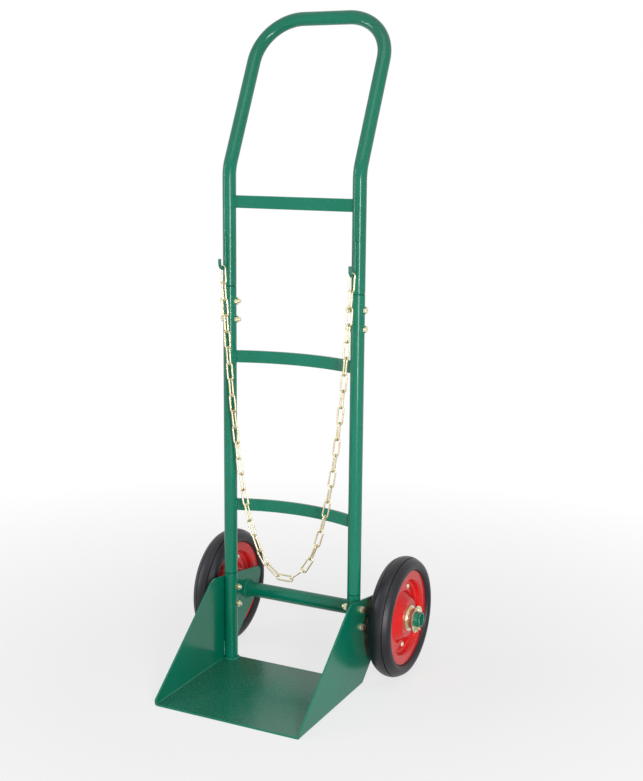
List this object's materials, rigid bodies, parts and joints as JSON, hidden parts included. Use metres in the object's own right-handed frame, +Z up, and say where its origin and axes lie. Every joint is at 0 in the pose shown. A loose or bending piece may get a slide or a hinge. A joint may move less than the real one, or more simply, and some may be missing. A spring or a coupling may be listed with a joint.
{
  "type": "gas cylinder torch cart",
  "caption": "Green tubular hand truck with red disc wheels, folded toe plate, bowed cylinder saddles and a retaining chain.",
  "frame": {"origin": "on the floor, under the middle of the bounding box", "axes": "+Z up, -Y towards the toe plate's front edge, +X to the cart's right-hand side seen from the front"},
  "size_m": [0.4078, 0.3992, 1.0901],
  "materials": {
    "green_paint": "gloss",
    "red_paint": "gloss",
    "tyre_rubber": "satin",
    "zinc_plate": "bright zinc plate with a yellow passivate",
    "chain_zinc": "yellow zinc plate",
    "nylon": "satin"
  },
  "bodies": {
    "frame": {"axle_collar_left": "green_paint", "axle_collar_right": "green_paint", "axle_spacer_left": "zinc_plate", "axle_spacer_right": "zinc_plate", "axle_tube": "green_paint", "axle_washer_inner_left": "zinc_plate", "axle_washer_inner_right": "zinc_plate", "axle_washer_outer_left": "zinc_plate", "axle_washer_outer_right": "zinc_plate", "base_joint_bolts": "zinc_plate", "base_joint_nuts": "zinc_plate", "base_joint_washers": "zinc_plate", "base_shoe": "green_paint", "base_weld_beads": "green_paint", "chain_hook_left": "green_paint", "chain_hook_right": "green_paint", "collar_weld_beads": "green_paint", "frame_tube_left": "green_paint", "frame_tube_right": "green_paint", "handle_crossbar": "green_paint", "handle_joint_bolts": "zinc_plate", "handle_joint_nuts": "zinc_plate", "handle_tube": "green_paint", "hook_weld_beads": "green_paint", "saddle_bar_lower": "green_paint", "saddle_bar_upper": "green_paint", "socket_tube_left": "green_paint", "socket_tube_right": "green_paint", "split_pin_left": "zinc_plate", "split_pin_right": "zinc_plate"},
    "wheel_left": {"wheel_left_disc_inner": "red_paint", "wheel_left_disc_outer": "red_paint", "wheel_left_disc_rivets": "zinc_plate", "wheel_left_hub_bush_inner": "nylon", "wheel_left_hub_bush_outer": "nylon", "wheel_left_hub_flange_inner": "zinc_plate", "wheel_left_hub_flange_outer": "zinc_plate", "wheel_left_hub_tube": "zinc_plate", "wheel_left_tyre": "tyre_rubber"},
    "wheel_right": {"wheel_right_disc_inner": "red_paint", "wheel_right_disc_outer": "red_paint", "wheel_right_disc_rivets": "zinc_plate", "wheel_right_hub_bush_inner": "nylon", "wheel_right_hub_bush_outer": "nylon", "wheel_right_hub_flange_inner": "zinc_plate", "wheel_right_hub_flange_outer": "zinc_plate", "wheel_right_hub_tube": "zinc_plate", "wheel_right_tyre": "tyre_rubber"},
    "chain": {"chain_bottom": "chain_zinc", "chain_end_link_left": "chain_zinc", "chain_end_link_right": "chain_zinc", "chain_left_run": "chain_zinc", "chain_right_run": "chain_zinc"}
  },
  "joints": [
    {"name": "wheel_left_spin", "type": "hinge", "parent": "frame", "child": "wheel_left", "pos_m": [-0.1655, 0.09795, 0.1016], "axis": [1, 0, 0], "continuous": true},
    {"name": "wheel_right_spin", "type": "hinge", "parent": "frame", "child": "wheel_right", "pos_m": [0.1655, 0.09795, 0.1016], "axis": [1, 0, 0], "continuous": true},
    {"name": "chain_swing", "type": "hinge", "parent": "frame", "child": "chain", "pos_m": [0, -0.00465, 0.6848], "axis": [-1, 0, 0], "range_deg": [-1.5, 75]}
  ]
}
